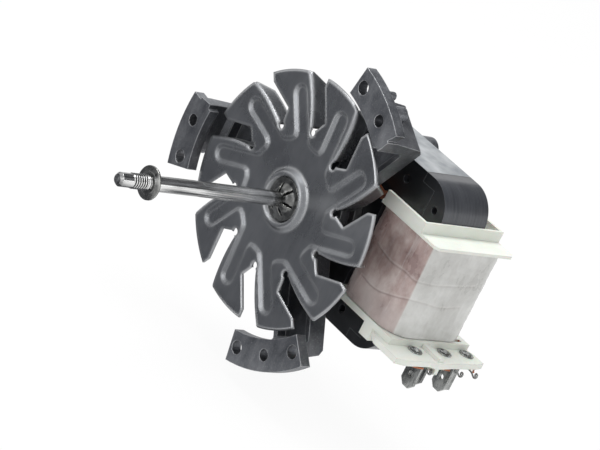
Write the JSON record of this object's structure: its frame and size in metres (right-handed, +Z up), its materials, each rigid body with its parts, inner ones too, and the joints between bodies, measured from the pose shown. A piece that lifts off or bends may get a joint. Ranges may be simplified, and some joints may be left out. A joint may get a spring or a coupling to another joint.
{
  "type": "appliance motor",
  "caption": "Shaded-pole appliance motor with a three-arm cast mounting bracket, a slotted sheet cooling fan and a long shaft with a free tip for a wheel.",
  "frame": {"origin": "centre of the mounting hole circle on the front face of the feet, which is also a point on the shaft axis", "axes": "-Y along the shaft towards its free tip, +X from the rotor to the coil, +Z up with the terminals hanging down"},
  "size_m": [0.1205, 0.127, 0.1087],
  "materials": {
    "cast_aluminium": "as-cast, slightly rough",
    "core_steel": "dark oxide coated lamination stack",
    "copper": "bare copper",
    "bobbin_plastic": "off-white moulded plastic",
    "coil_tape": "wound polyester tape",
    "tinned_steel": "tinned sheet",
    "zinc_steel": "zinc plated",
    "bearing_bronze": "sintered, oil soaked",
    "spring_steel": "bright spring strip",
    "felt": "oil soaked felt",
    "ground_steel": "ground and polished",
    "rotor_aluminium": "die cast",
    "turned_steel": "turned",
    "fibre": "thrust washer fibre",
    "fan_sheet": "coated sheet, semi-matt"
  },
  "bodies": {
    "stator": {"front_bracket": "cast_aluminium", "rear_bracket": "cast_aluminium", "stator_core": "core_steel", "coil_leg": "core_steel", "shading_rings": "copper", "bobbin": "bobbin_plastic", "winding": "copper", "coil_tape": "coil_tape", "terminal_line": "tinned_steel", "terminal_neutral": "tinned_steel", "terminal_link": "tinned_steel", "terminal_eyelets": "tinned_steel", "winding_leads": "copper", "front_bearing": "bearing_bronze", "rear_bearing": "bearing_bronze", "front_retainer": "spring_steel", "rear_retainer": "spring_steel", "front_oil_felt": "felt", "rear_oil_felt": "felt", "bracket_screws": "zinc_steel"},
    "rotor": {"shaft": "ground_steel", "rotor_core": "core_steel", "rotor_cage": "rotor_aluminium", "front_rotor_sleeve": "turned_steel", "rear_rotor_sleeve": "turned_steel", "front_thrust_washer": "fibre", "rear_thrust_washer": "fibre", "cooling_fan": "fan_sheet", "fan_push_nut": "zinc_steel", "fan_spacer": "turned_steel", "stop_washer": "zinc_steel", "retaining_ring": "zinc_steel"}
  },
  "joints": [
    {"name": "rotor_spin", "type": "hinge", "parent": "stator", "child": "rotor", "pos_m": [0, 0, 0], "axis": [0, 1, 0], "continuous": true}
  ]
}
